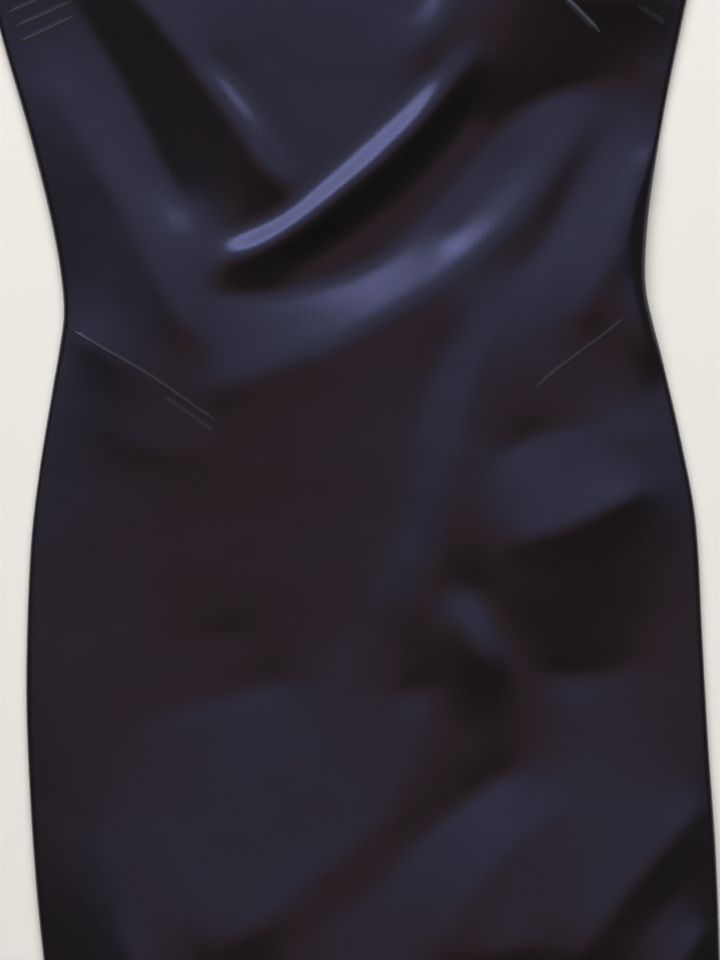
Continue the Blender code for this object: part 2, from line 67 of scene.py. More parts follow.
MM = 0.001
HEM = -570.0
UNDERARM = 220.0
SHOULDER_TIP_UP = 408.0
NECK_POINT_UP = 430.0
FRONT_NECK_UP = 320.0
FRONT_NECK_ROUND = 2.6
ORIGIN_UP = HEM - cad_low[1] / MM
NECK_HALF = 95.0
SHOULDER_HALF = 172.0
UNDERARM_HALF = 235.0
ARMHOLE_HALF = 158.0
PANEL_WALL = 1.2
SEAM_GAP = 0.3
SATIN_WALL = 0.8
REST_GAP = 0.4
ROLL_HEIGHT = 3.0
ROLL_WIDTH = 3.0

# Half widths of the dress laid flat: up, left, right.
SIDE_SEAMS = [
    (-570, 217, 219),
    (-480, 221, 222),
    (-387, 227, 223),
    (-307, 229, 221),
    (-240, 228, 220),
    (-160, 222, 219),
    (-107, 214, 212),
    (-53, 203, 202),
    (-25, 197, 196),
    (0, 193, 192),
    (30, 194.5, 193.5),
    (67, 200, 199),
    (120, 211, 210),
    (173, 224, 223),
    (220, 235, 235),
]

# The crests and hollows that the cloth hangs over, as across, up and height along each.
CREASES = {
    "neckline": [(-95, 425, 4), (-62, 352, 9), (0, 318, 11), (62, 352, 9), (95, 425, 4)],
    "armhole_left": [(-233, 224, 4), (-206, 243, 8), (-180, 280, 9.5), (-164, 335, 9), (-170, 395, 4)],
    "armhole_right": [(233, 224, 4), (206, 243, 8), (180, 280, 9.5), (164, 335, 9), (170, 395, 4)],
    "bust_left": [(-196, 240, 10), (-150, 250, 16), (-100, 258, 16.5), (-60, 258, 15)],
    "bust_right": [(60, 240, 17), (98, 207, 21.6), (138, 201, 23.6), (180, 192, 21.8), (214, 182, 12)],
    "slack_top": [(-80, 225, 15.5), (-30, 212, 15), (14, 212, 14.6), (44, 225, 14.4)],
    "slack_middle": [(-66, 178, 15.8), (-36, 150, 15.2), (-10, 140, 15), (16, 152, 14.8)],
    "right_rim": [(92, 240, 21), (80, 212, 22.4), (70, 190, 22.6), (60, 170, 21.2), (50, 155, 17.4)],
    "right_rim_foot": [(64, 236, 14.8), (58, 212, 14.8), (49, 192, 14.8), (40, 176, 14.8)],
    "main_crest": [
        (100, 174, 13.6),
        (86, 159, 20),
        (70, 139, 23),
        (54, 120, 23.8),
        (36, 103, 24.2),
        (14, 84, 24.4),
        (-8, 68, 24),
        (-28, 53, 23.2),
        (-48, 41, 22),
        (-68, 33, 20.4),
        (-84, 28, 18.4),
        (-98, 26, 15),
    ],
    "main_foot": [
        (66, 162, 14),
        (54, 146, 15),
        (39, 127, 15.4),
        (20, 110, 15.4),
        (-1, 92, 15.4),
        (-21, 76, 15),
        (-41, 62, 14),
        (-60, 52, 12),
        (-80, 45, 9.6),
        (-98, 46, 7.6),
    ],
    "main_wall": [
        (92, 142, 7.4),
        (75, 117, 9),
        (57, 96, 10),
        (34, 75, 10.6),
        (10, 56, 10.6),
        (-12, 42, 10.4),
        (-36, 29, 10.2),
        (-60, 20, 10.2),
    ],
    "left_rim": [
        (-156, 240, 17.5),
        (-136, 206, 20.4),
        (-122, 186, 21.4),
        (-110, 170, 22),
        (-94, 151, 22.4),
        (-79, 132, 22.6),
        (-67, 112, 22.4),
        (-57, 92, 22),
        (-50, 76, 21),
        (-46, 60, 19),
    ],
    "left_rim_foot": [
        (-98, 170, 16.2),
        (-80, 152, 15.6),
        (-66, 133, 15.2),
        (-54, 114, 15.2),
        (-45, 96, 15),
        (-38, 82, 15),
        (-34, 72, 15.2),
    ],
    "left_valley": [
        (-190, 232, 9),
        (-174, 200, 7),
        (-156, 168, 6.2),
        (-143, 138, 5.9),
        (-130, 106, 5.8),
        (-119, 80, 6),
        (-110, 60, 7.6),
        (-103, 45, 10.4),
    ],
    "right_valley": [
        (176, 140, 6),
        (146, 134, 5.9),
        (119, 123, 5.8),
        (99, 107, 5.8),
        (83, 89, 5.9),
        (68, 73, 6.2),
        (50, 54, 6.8),
        (26, 32, 7),
        (0, 18, 7.4),
        (-30, 10, 8.4),
        (-60, 6, 10),
        (-84, 6, 11.4),
        (-104, 12, 12.6),
    ],
    "right_floor": [(124, 98, 6.6), (98, 74, 7.6), (76, 50, 8.4), (54, 30, 8.6)],
    "left_swell": [
        (-200, 165, 7.4),
        (-186, 135, 9.6),
        (-172, 108, 12),
        (-158, 82, 14),
        (-146, 58, 15.4),
        (-134, 30, 17),
        (-120, 0, 18.4),
        (-100, -36, 19.4),
    ],
    "right_swell": [
        (170, 128, 6.8),
        (152, 110, 8.6),
        (137, 87, 11),
        (121, 62, 12.8),
        (101, 41, 14.5),
        (80, 25, 15.9),
        (60, 10, 16.9),
        (38, -3, 17.4),
        (14, -16, 17.9),
        (-14, -30, 18.4),
        (-50, -42, 18.7),
        (-90, -54, 18),
        (-118, -62, 15.4),
    ],
    "gap_valley": [
        (182, 118, 6),
        (168, 98, 6),
        (153, 74, 6.4),
        (137, 46, 7.6),
        (116, 18, 10.4),
        (92, -6, 13.8),
    ],
    "side_swell": [
        (212, 117, 7.8),
        (206, 98, 9.9),
        (196, 70, 13),
        (182, 42, 15.2),
        (166, 12, 16.6),
        (153, -12, 16.8),
        (140, -34, 16.4),
    ],
    "side_hollow": [(216, 142, 5.6), (200, 136, 5.5), (180, 134, 5.5)],
    "waist_left": [(-190, -12, 8), (-162, -32, 12), (-132, -54, 15)],
    "skirt_ridge": [
        (104, -2, 15.6),
        (92, -20, 17.2),
        (81, -42, 18.6),
        (73, -66, 19.4),
        (66, -92, 19.8),
        (61, -120, 20),
        (54, -150, 19.8),
        (44, -178, 18.8),
        (30, -204, 16.8),
        (14, -228, 14),
    ],
    "skirt_foot": [
        (72, -8, 15),
        (57, -34, 13.6),
        (45, -62, 13),
        (37, -92, 12.8),
        (31, -120, 12.8),
        (23, -150, 12.8),
        (10, -180, 12.4),
        (-8, -208, 11.2),
        (-30, -236, 9.2),
    ],
    "skirt_low": [(-196, -276, 5.9), (-130, -266, 6), (-86, -256, 6.4), (-44, -248, 7.8)],
    "hip_crest": [(84, -168, 16), (104, -164, 19.8), (134, -157, 20.4), (160, -146, 19.2), (188, -132, 15)],
    "hip_foot": [(88, -114, 12.8), (120, -94, 11.6), (168, -94, 11.4), (196, -104, 9.6)],
    "hip_crease": [(49, -185, 15), (59, -207, 17.8), (68, -227, 19.8), (77, -245, 18.8), (87, -262, 14.4)],
    "hip_crease_foot": [
        (64, -182, 13),
        (73, -202, 14),
        (82, -222, 14.4),
        (91, -239, 13.4),
        (100, -255, 10.6),
    ],
    "hip_hollow": [(112, -250, 7.4), (140, -256, 6.6), (172, -250, 6), (204, -232, 5.8)],
    "lap_ridge": [
        (44, -240, 14),
        (34, -280, 14.6),
        (22, -318, 16.2),
        (2, -350, 18),
        (-30, -374, 19.8),
        (-70, -404, 21.4),
        (-110, -432, 22),
    ],
    "lap_hollow": [(68, -270, 13), (72, -292, 11.8), (58, -318, 12)],
    "drag_valley": [
        (104, -306, 8.2),
        (72, -328, 9.8),
        (36, -352, 13.6),
        (4, -384, 17.6),
        (-40, -414, 20.4),
        (-76, -442, 21.8),
    ],
    "drag_crest": [
        (132, -330, 13.6),
        (106, -352, 16.4),
        (76, -378, 19.2),
        (52, -410, 21.8),
        (34, -450, 24),
    ],
    "corner_crest": [
        (218, -336, 7),
        (198, -364, 11.6),
        (170, -392, 17.2),
        (146, -420, 21.4),
        (122, -460, 24),
    ],
    "corner_valley": [(220, -370, 5.8), (199, -396, 8.6), (174, -422, 14.2), (152, -462, 19.4)],
    "hem_edge": [(-200, -568, 6), (-60, -568, 13), (60, -568, 13), (200, -568, 6)],
    "thigh": [(-192, -330, 6.2), (-176, -390, 11.8), (-164, -440, 17.6), (-158, -480, 20)],
    "corner_swell": [(214, -424, 9.6), (198, -454, 14.4), (178, -488, 18.4)],
    "waist_right": [
        (193, 66, 9.8),
        (191, 36, 11.2),
        (190, 8, 12.4),
        (191, -16, 12.9),
        (196, -40, 11.8),
        (204, -64, 9.4),
    ],
    "drag_low": [(-70, -500, 22.4), (0, -484, 23), (60, -486, 22.6)],
    "skirt_left": [(-180, -218, 6.1), (-126, -222, 6.5), (-72, -218, 7.3)],
    "thigh_middle": [(-130, -300, 7.4), (-122, -350, 12), (-116, -400, 17.4), (-112, -440, 21.8)],
    "hip_slack": [(94, -194, 16.6), (122, -206, 15.2)],
    "lap_low": [(-60, -456, 23.2), (-20, -448, 23.6), (10, -446, 23.8), (34, -450, 24)],
    "mid_low": [(66, -440, 23.6), (86, -434, 22.8), (108, -430, 22.2)],
    "hip_left": [(-170, -78, 9.6), (-140, -92, 12), (-104, -98, 13.6)],
    "lap_slack": [(44, -262, 13.4), (14, -262, 11.6)],
}

DRAPE_ACROSS = 256.0
DRAPE_LOW = -592.0
DRAPE_HIGH = 448.0
DRAPE_PASSES = [(16.0, 300), (8.0, 260), (4.0, 200), (2.0, 160)]
CREASE_HOLD = 1.2
CREASE_FADE = 45.0
CREASE_FADE_SHARE = 0.3
SOFTEN_PASSES = 10

# How unevenly the cloth lies between its creases: height, size across, size up, and a seed.
UNEVEN = [(0.5, 55, 70, 3.1), (0.12, 17, 22, 8.4)]


def scene_point(across, up, height):
    return Vector((across, up - ORIGIN_UP, height)) * MM


def smooth_path(rows, steps=12):
    """Points of a smooth curve through a table's rows, with a number of steps to each span."""
    rows = np.array(rows, float)
    ends = np.vstack([2 * rows[0] - rows[1], rows, 2 * rows[-1] - rows[-2]])
    share = np.linspace(0, 1, steps, endpoint=False)[:, None]
    spans = []
    for before, start, end, after in zip(ends, ends[1:], ends[2:], ends[3:]):
        bend = 2 * before - 5 * start + 4 * end - after
        twist = 3 * start - before - 3 * end + after
        spans.append(0.5 * (2 * start + (end - before) * share + bend * share**2 + twist * share**3))
    return np.vstack(spans + [rows[-1:]])


def eased(share):
    return share**2 * (3 - 2 * share)


side_curve = smooth_path(SIDE_SEAMS)


def side_half(up, across):
    """Half the width at a height, on the side that a sign or a distance across names."""
    left = np.interp(up, side_curve[:, 0], side_curve[:, 1])
    right = np.interp(up, side_curve[:, 0], side_curve[:, 2])
    return np.where(np.asarray(across) < 0, left, right)


def armhole_half(share):
    """Half the width between the underarm (share 0) and the shoulder (share 1)."""
    widening = UNDERARM_HALF - ARMHOLE_HALF
    return ARMHOLE_HALF + widening * (1 - share) ** 3 + (SHOULDER_HALF - ARMHOLE_HALF) * share**3


def shoulder_up(across):
    fall = (np.abs(across) - NECK_HALF) / (SHOULDER_HALF - NECK_HALF)
    return NECK_POINT_UP + (SHOULDER_TIP_UP - NECK_POINT_UP) * fall


def top_edge(across, neck_up, roundness):
    if abs(across) > NECK_HALF:
        return shoulder_up(across)
    return neck_up + (NECK_POINT_UP - neck_up) * (abs(across) / NECK_HALF) ** roundness


def panel_point(share, up, neck_up, roundness):
    """A point of a panel, from its share of the half width and its height at the middle."""
    if up <= UNDERARM:
        return share * float(side_half(up, share)), up
    climb = (up - UNDERARM) / (neck_up - UNDERARM)
    edge = top_edge(share * SHOULDER_HALF, neck_up, roundness)
    return share * armhole_half(climb), UNDERARM + climb * (edge - UNDERARM)


def to_seam(across, up):
    """How far inside the side or shoulder seam a point lies."""
    if up <= UNDERARM:
        return float(side_half(up, across)) - abs(across)
    if abs(across) > NECK_HALF:
        return float(shoulder_up(across)) - up
    return math.inf


def drape_axes(cell):
    across = np.arange(-DRAPE_ACROSS, DRAPE_ACROSS + cell / 2, cell)
    up = np.arange(DRAPE_LOW, DRAPE_HIGH + cell / 2, cell)
    return across, up


def read_drape(heights, cell, across, up):
    """Heights between the drape's grid points."""
    column = np.clip((across + DRAPE_ACROSS) / cell, 0, heights.shape[1] - 1.001)
    row = np.clip((up - DRAPE_LOW) / cell, 0, heights.shape[0] - 1.001)
    left, below = column.astype(int), row.astype(int)
    right, above = column - left, row - below
    lower = heights[below, left] * (1 - right) + heights[below, left + 1] * right
    upper = heights[below + 1, left] * (1 - right) + heights[below + 1, left + 1] * right
    return lower * (1 - above) + upper * above


def crease_pull(cell, shape):
    """How hard the creases hold each grid point, and at what height. A crease lets go at its ends."""
    hold, held = np.zeros(shape), np.zeros(shape)
    for stations in CREASES.values():
        path = smooth_path(stations, 24)
        steps = np.hypot(np.diff(path[:, 0]), np.diff(path[:, 1]))
        run = np.concatenate([[0], np.cumsum(steps)])
        fade = min(CREASE_FADE, CREASE_FADE_SHARE * run[-1])
        share = np.clip(np.minimum(run, run[-1] - run) / fade, 0, 1)
        weight = CREASE_HOLD * eased(share) ** 2 * np.gradient(run) / cell
        column = np.rint((path[:, 0] + DRAPE_ACROSS) / cell).astype(int)
        row = np.rint((path[:, 1] - DRAPE_LOW) / cell).astype(int)
        np.add.at(hold, (row, column), weight)
        np.add.at(held, (row, column), weight * path[:, 2])
    return hold, held


def mean_of_neighbours(heights):
    edged = np.pad(heights, 1, mode="edge")
    return 0.25 * (edged[:-2, 1:-1] + edged[2:, 1:-1] + edged[1:-1, :-2] + edged[1:-1, 2:])


def hang_cloth():
    """Heights of the cloth on a grid: held at its seams and creases, and slack between them."""
    heights, last_cell = np.full((2, 2), ROLL_HEIGHT), DRAPE_HIGH - DRAPE_LOW
    for cell, passes in DRAPE_PASSES:
        across, up = np.meshgrid(*drape_axes(cell))
        beyond_side = (up < UNDERARM) & (np.abs(across) > side_half(up, across))
        beyond_shoulder = (np.abs(across) > NECK_HALF) & (up > shoulder_up(across))
        seam = beyond_side | beyond_shoulder
        hold, held = crease_pull(cell, across.shape)
        heights = read_drape(heights, last_cell, across, up)
        for _ in range(passes):
            heights = (mean_of_neighbours(heights) + held) / (1 + hold)
            heights[seam] = ROLL_HEIGHT
        last_cell = cell
    for _ in range(SOFTEN_PASSES):
        heights = mean_of_neighbours(heights)
    return heights, last_cell


drape_heights, drape_cell = hang_cloth()


def front_height(across, up):
    """Height of the front over its seams, with its edge rolled down to them."""
    height = float(read_drape(drape_heights, drape_cell, np.array(across), np.array(up)))
    roll = min(max(0.0, 1 - to_seam(across, up) / ROLL_WIDTH), 1)
    uneven = sum(rise * noise.noise((across / wide, up / long, seed)) for rise, wide, long, seed in UNEVEN)
    return height + uneven * (1 - roll) - ROLL_HEIGHT * (1 - math.sqrt(1 - roll**2))


def front_inside(across, up):
    """Height of the front's inner side over the table."""
    return PANEL_WALL + SEAM_GAP + REST_GAP + front_height(across, up)


def panel_mesh(columns, rows, place):
    """A sheet with a grid of columns and rows, each point put in its place."""
    mesh = bmesh.new()
    across_cells, up_cells = len(columns) - 1, len(rows) - 1
    bmesh.ops.create_grid(mesh, x_segments=across_cells, y_segments=up_cells, size=1)
    for vert in mesh.verts:
        column = columns[round((vert.co.x + 1) / 2 * across_cells)]
        row = rows[round((vert.co.y + 1) / 2 * up_cells)]
        vert.co = place(column, row)
    return mesh


def srgb(text):
    """A colour's hex value, turned to linear."""
    channels = [int(text[start : start + 2], 16) / 255 for start in (1, 3, 5)]
    return [part / 12.92 if part <= 0.04045 else ((part + 0.055) / 1.055) ** 2.4 for part in channels] + [1]


def add_node(tree, kind, settings=(), links=()):
    """A shader node with its settings and its links from other nodes, by socket name or number."""
    node = tree.nodes.new(kind)
    for name, value in settings:
        if isinstance(name, int) or name in node.inputs:
            node.inputs[name].default_value = value
        else:
            setattr(node, name, value)
    for name, output in links:
        tree.links.new(node.inputs[name], output)
    return node


def empty_finish(name):
    """A material, and its node tree with nothing in it."""
    finish = bpy.data.materials.new(name)
    finish.use_nodes = True
    finish.node_tree.nodes.clear()
    return finish, finish.node_tree


def millimetres(tree, scale):
    """The piece's own coordinates, in units of a pattern's size in millimetres along each axis."""
    place = add_node(tree, "ShaderNodeTexCoord")
    size = [1 / (value * MM) for value in scale]
    return add_node(
        tree,
        "ShaderNodeMapping",
        settings=[("Scale", size)],
        links=[("Vector", place.outputs["Object"])],
    ).outputs["Vector"]


SLUB = (0.7, 9, 9)
CLOUD = (38, 46, 46)
CLOUD_SHARE = 0.6
UNEVEN_GLOSS = 0.025


def satin_finish(name, colours, roughness, gloss, tint, weave):
    """Polyester satin: dark dyed threads, whose long floats give a cool sheen with soft edges.

    The floats are 0.1 mm wide, too fine to show, so they are drawn as slubs 0.7 mm by 9 mm. Clouds
    of a few centimetres make the dye and the gloss a little uneven.
    """
    finish, tree = empty_finish(name)
    slubs = add_node(
        tree,
        "ShaderNodeTexNoise",
        settings=[("Scale", 1.0), ("Detail", 2.0)],
        links=[("Vector", millimetres(tree, SLUB))],
    )
    cloudy = add_node(
        tree,
        "ShaderNodeTexNoise",
        settings=[("Scale", 1.0), ("Detail", 3.0)],
        links=[("Vector", millimetres(tree, CLOUD))],
    )
    mixed = add_node(
        tree,
        "ShaderNodeMath",
        settings=[("operation", "MULTIPLY_ADD"), (1, CLOUD_SHARE)],
        links=[(0, cloudy.outputs["Fac"]), (2, slubs.outputs["Fac"])],
    )
    share = add_node(
        tree,
        "ShaderNodeMapRange",
        settings=[("From Min", 0.45), ("From Max", 1.15)],
        links=[("Value", mixed.outputs[0])],
    )
    rough = add_node(
        tree,
        "ShaderNodeMapRange",
        settings=[("To Min", roughness - UNEVEN_GLOSS), ("To Max", roughness + UNEVEN_GLOSS)],
        links=[("Value", share.outputs["Result"])],
    )
    bump = add_node(
        tree,
        "ShaderNodeBump",
        settings=[("Strength", weave), ("Distance", 0.05 * MM)],
        links=[("Height", slubs.outputs["Fac"])],
    )
    dye = add_node(
        tree,
        "ShaderNodeMixRGB",
        settings=[("Color1", srgb(colours[0])), ("Color2", srgb(colours[1]))],
        links=[("Fac", share.outputs["Result"])],
    )
    shader = add_node(
        tree,
        "ShaderNodeBsdfPrincipled",
        settings=[("Specular IOR Level", gloss), ("Specular Tint", srgb(tint))],
        links=[
            ("Base Color", dye.outputs["Color"]),
            ("Roughness", rough.outputs["Result"]),
            ("Normal", bump.outputs["Normal"]),
        ],
    )
    add_node(tree, "ShaderNodeOutputMaterial", links=[("Surface", shader.outputs["BSDF"])])
    return finish


satin = satin_finish("polyester_satin", ("#151312", "#191514"), 0.25, 0.42, "#aab2ff", 0.35)
# The wrong side is the warp-poor face of the same cloth: duller, and a little lighter.
satin_reverse = satin_finish("satin_wrong_side", ("#17161a", "#1d1b20"), 0.5, 0.3, "#b8bad8", 0.8)
# Along a pressed fold the satin is drawn paler, a painted highlight where the fold catches the light.
fold_highlight_satin = satin_finish("fold_highlight_satin", ("#1c1b1f", "#212025"), 0.3, 0.35, "#cacbf0", 0.35)
# A paler copy still for the deep tuck's crest: a stronger painted highlight.
crest_highlight_satin = satin_finish("crest_painted_highlight", ("#303136", "#383a40"), 0.35, 0.5, "#bcc0ff", 0.35)


def add_piece(name, mesh, materials, nodes=()):
    """A finished piece of the dress, which stands for its nodes."""
    for face in mesh.faces:
        face.smooth = True
    data = bpy.data.meshes.new(name)
    mesh.to_mesh(data)
    mesh.free()
    for material in materials:
        data.materials.append(material)
    piece = bpy.data.objects.new(name, data)
    bpy.context.scene.collection.objects.link(piece)
    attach(piece, "root")
    if nodes:
        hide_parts(*nodes)
    return piece


def thicken(piece, wall, side=1):
    """Give a sheet its wall, on the side its faces point to (1) or behind them (-1).

    The last of its materials goes on the side behind its faces.
    """
    solid = piece.modifiers.new("wall", "SOLIDIFY")
    solid.thickness = wall * MM
    solid.offset = side
    solid.material_offset = len(piece.data.materials) - 1


# Columns are shares of the half width, closer together near the side seams, where the edge rolls.
EDGE_SHARE = 0.97
PLAIN_TOP = -450.0
edge_columns = [1 - inset / UNDERARM_HALF for inset in (6, 4.5, 3.2, 2.1, 1.2, 0.5, 0)]
columns = [-share for share in reversed(edge_columns)]
columns += [*np.linspace(-EDGE_SHARE, EDGE_SHARE, 141), *edge_columns]
rows = [*np.linspace(HEM, PLAIN_TOP, 25), *np.linspace(PLAIN_TOP, UNDERARM, 231)[1:]]
rows += [*np.linspace(UNDERARM, FRONT_NECK_UP, 40)[1:]]


def front_place(share, row):
    across, up = panel_point(share, row, FRONT_NECK_UP, FRONT_NECK_ROUND)
    return scene_point(across, up, front_inside(across, up))


front = add_piece("front_satin", panel_mesh(columns, rows, front_place), [satin, satin_reverse], ["front"])
thicken(front, SATIN_WALL)


# Front hem ========================================================================================
# The last 28 mm of the front, turned up inside and sewn by hand so that no stitch shows outside.
# It is the same satin, wrong side to wrong side, and stops short of the side seams' allowances.

HEM_DEPTH = 28.0
HEM_WALL = 0.7
HEM_CLEAR = 0.15
HEM_SIDE = 12.0
HEM_FOLD = 0.4
hem_rows = [HEM + HEM_FOLD, HEM + 7, HEM + 14, HEM + 21, HEM + HEM_DEPTH]


def front_hem_place(share, up):
    across = share * (float(side_half(up, share)) - HEM_SIDE)
    return scene_point(across, up, front_inside(across, up) - HEM_CLEAR - HEM_WALL)


front_hem = add_piece("front_hem", panel_mesh(np.linspace(-1, 1, 91), hem_rows, front_hem_place), [satin])
thicken(front_hem, HEM_WALL)


# Hip darts ========================================================================================
# A dart from each side seam towards the hip: the satin is pinched, sewn inside along a line and
# pressed down towards the hem. Outside, it is a low soft welt, paler than the cloth: a painted highlight.

# A pressed tuck's section: distance from its seam line towards the neck, and height.
TUCK_WELT = [
    (2.0, -0.08),
    (1.6, 0.0),
    (1.0, 0.03),
    (0.7, 0.0),
    (0.5, 0.0),
    (0.1, 0.09),
    (-0.35, 0.18),
    (-0.85, 0.19),
    (-1.6, 0.11),
    (-2.3, 0.02),
    (-2.8, -0.08),
]
DART_WELT = [(aside * 0.85, height) for aside, height in TUCK_WELT]
PRESS_WELT = [(aside, height * 0.4) for aside, height in DART_WELT]
HIP_DARTS = {
    "left": [(-191.5, -10), (-172, -23), (-139, -44), (-107, -68), (-86, -83)],
    "right": [(179.5, -18), (162, -31), (144, -43), (127, -55), (110, -69)],
}
WELT_STEP = 1.0
WELT_WALL = 0.2
WELT_TIP = 0.3
WELT_SINK = 0.3
ABOVE_ALL = 100.0
# A second faint line under the lower half of the left dart, where its fold is pressed flat.
PRESS_LINE = [(-130, -58), (-113, -71), (-94, -85.5)]


def surface_of(pieces):
    """The pieces' finished surfaces, for laying something on them."""
    depsgraph = bpy.context.evaluated_depsgraph_get()
    verts, faces = [], []
    for piece in pieces:
        shape = piece.evaluated_get(depsgraph).to_mesh()
        faces += [[len(verts) + index for index in face.vertices] for face in shape.polygons]
        verts += [vert.co.copy() for vert in shape.vertices]
    return BVHTree.FromPolygons(verts, faces)


def surface_height(surface, across, up):
    """The surface's height under a point, or 0 where there is none."""
    hit = surface.ray_cast(scene_point(across, up, ABOVE_ALL), Vector((0, 0, -1)))[0]
    return hit.z / MM if hit else 0.0


front_surface = surface_of([front])


def even_line(stations, step):
    """Points and headings at even steps along a smooth line."""
    path = smooth_path(stations)
    run = np.concatenate([[0], np.cumsum(np.hypot(*np.diff(path, axis=0).T))])
    stops = np.linspace(0, run[-1], max(2, round(run[-1] / step)) + 1)
    line = np.column_stack([np.interp(stops, run, path[:, 0]), np.interp(stops, run, path[:, 1])])
    heading = np.gradient(line, axis=0)
    return line, heading / np.hypot(*heading.T)[:, None]


# A welt is drawn by default in the paler satin, a painted highlight along its fold.
def lay_welt(name, stations, section, node, full=(0.08, 0.85), finish=fold_highlight_satin):
    """A welt laid on the front along a line. It comes out of the cloth at its start and sinks
    back into it at its end, narrower at both, and is full between two shares of its length."""
    line, heading = even_line(stations, WELT_STEP)
    neckwards = 1 if heading[:, 0].mean() < 0 else -1

    def place(over, index):
        aside, height = section[over]
        share = index / (len(line) - 1)
        rise = min(1, share / full[0])
        fall = max(0, (share - full[1]) / (1 - full[1]))
        fade = eased(rise) * (1 - eased(fall))
        reach = neckwards * aside * (WELT_TIP + (1 - WELT_TIP) * fade)
        point = line[index] + reach * np.array([heading[index][1], -heading[index][0]])
        level = surface_height(front_surface, *point) + height * fade - WELT_SINK * (1 - fade)
        return scene_point(*point, level)

    mesh = panel_mesh(range(len(section)), range(len(line)), place)
    mesh.normal_update()
    if sum(face.normal.z for face in mesh.faces) < 0:
        bmesh.ops.reverse_faces(mesh, faces=mesh.faces)
    thicken(add_piece(name, mesh, [finish], node), WELT_WALL, -1)


# The darts' welts and the faint pressed line are drawn in the paler satin: a painted highlight.
for side, stations in HIP_DARTS.items():
    lay_welt("hip_dart_welt_" + side, stations, DART_WELT, ["hip_dart_" + side])
lay_welt("hip_dart_press", PRESS_LINE, PRESS_WELT, [])


# Bust tucks =======================================================================================
# Three small tucks in the satin, sewn in from each side seam below the arm, which give the front room
# over the bust. They are shorter than the darts, and the last one on the right stands up more.

BUST_TUCKS = {
    "left_1": [(-224, 177.3), (-196, 188), (-166, 201.7)],
    "left_2": [(-227, 187.3), (-198, 198), (-166, 211.5)],
    "left_3": [(-230, 197.3), (-204, 207), (-180, 218.5)],
    "right_1": [(217.5, 171.5), (203, 181), (188, 190)],
    "right_2": [(222, 186), (206, 197), (190, 210)],
    "right_3": [(171, 167), (156, 183), (141, 199)],
}
TUCK_FULL = (0.25, 0.62)
# The deeper fold's section, which stands up along the last tuck on the right.
DEEP_WELT = [
    (2.0, -0.1),
    (1.7, 0.0),
    (1.3, 0.35),
    (0.7, 1.0),
    (0.1, 1.6),
    (-0.4, 1.85),
    (-1.1, 1.6),
    (-1.9, 0.8),
    (-2.8, 0.12),
    (-3.2, -0.1),
]
# The tucks' welts are drawn in the paler satin, a painted highlight; the deep one's in a paler one still.
for name, stations in BUST_TUCKS.items():
    section, finish = TUCK_WELT, fold_highlight_satin
    if name == "right_3":
        section, finish = DEEP_WELT, crest_highlight_satin
    lay_welt("bust_tuck_welt_" + name, stations, section, ["bust_tuck_" + name], TUCK_FULL, finish)


# Back =============================================================================================
# Two halves of the same satin, joined by the centre-back zip above and a plain seam below it. They
# lie flat on the table, and turn up at the side and shoulder seams to meet the front.

ZIP_GAP = 0.3
SEAM_RISE = 1.0
SEAM_TURN = 5.0
PULL_HEIGHT = 0.8
PULL_WALL = 0.6
LIFT = PULL_HEIGHT + PULL_WALL + SEAM_GAP
LIFT_LOW = 352.0
LIFT_HIGH = 392.0
LIFT_FLAT = 10.0
LIFT_REACH = 45.0
BACK_NECK_UP = 400.0
BACK_NECK_ROUND = 2.2
# The back's shallow creases: height, sizes across and up, seed, what is cut off the noise, and how
# far from the centre line they reach their full height.
BACK_CREASE_RISE = 0.9
BACK_CREASE_WIDE = 60
BACK_CREASE_LONG = 34
BACK_CREASE_SEED = 5.7
BACK_CREASE_CUT = 0.12
BACK_CREASE_IN = 40


def back_lift(across, up):
    """How far the back is lifted: over the zip's pull, in shallow creases and at its sewn edges."""
    past_end = max(LIFT_LOW - up, 0, up - LIFT_HIGH)
    distance = math.hypot(across, past_end)
    share = min(max((LIFT_REACH - distance) / (LIFT_REACH - LIFT_FLAT), 0), 1)
    crease = noise.noise((across / BACK_CREASE_WIDE, up / BACK_CREASE_LONG, BACK_CREASE_SEED))
    rise = BACK_CREASE_RISE * max(0, crease - BACK_CREASE_CUT) * min(1, abs(across) / BACK_CREASE_IN)
    turn = min(max(0, 1 - to_seam(across, up) / SEAM_TURN), 1)
    return (LIFT * eased(share) + rise) * (1 - turn) + SEAM_RISE * turn**2


back_columns = [*np.linspace(0, 0.1, 8), *np.linspace(0.1, EDGE_SHARE, 44)[1:], *edge_columns]
back_rows = [*np.linspace(HEM, UNDERARM, 150), *np.linspace(UNDERARM, BACK_NECK_UP, 61)[1:]]


def add_back(name, side, node):
    """One back half, made from its inner side, with its wall towards the table."""

    def place(share, row):
        across, up = panel_point(side * share, row, BACK_NECK_UP, BACK_NECK_ROUND)
        across = side * max(abs(across), ZIP_GAP / 2)
        return scene_point(across, up, SATIN_WALL + back_lift(across, up))

    mesh = panel_mesh(back_columns, back_rows, place)
    if side > 0:
        bmesh.ops.reverse_faces(mesh, faces=mesh.faces)
    back = add_piece(name, mesh, [satin, satin_reverse], [node])
    thicken(back, SATIN_WALL)
    return back


backs = [add_back("back_satin_left", -1, "back_left"), add_back("back_satin_right", 1, "back_right")]
back_surface = surface_of(backs)


# Back hems ========================================================================================
# The back halves' turned-up hems, as on the front. They lie on the inner side of the back.

HEM_MIDDLE = 1.2


def lay_on_back(side, rows, columns, inner, outer, clear):
    """A strip on the inner side of a back half, between distances from the centre line."""

    def place(share, row):
        across = side * (inner + share * (outer[row] - inner))
        return scene_point(across, rows[row], surface_height(back_surface, across, rows[row]) + clear)

    mesh = panel_mesh(np.linspace(0, 1, columns), range(len(rows)), place)
    if side < 0:
        bmesh.ops.reverse_faces(mesh, faces=mesh.faces)
    return mesh


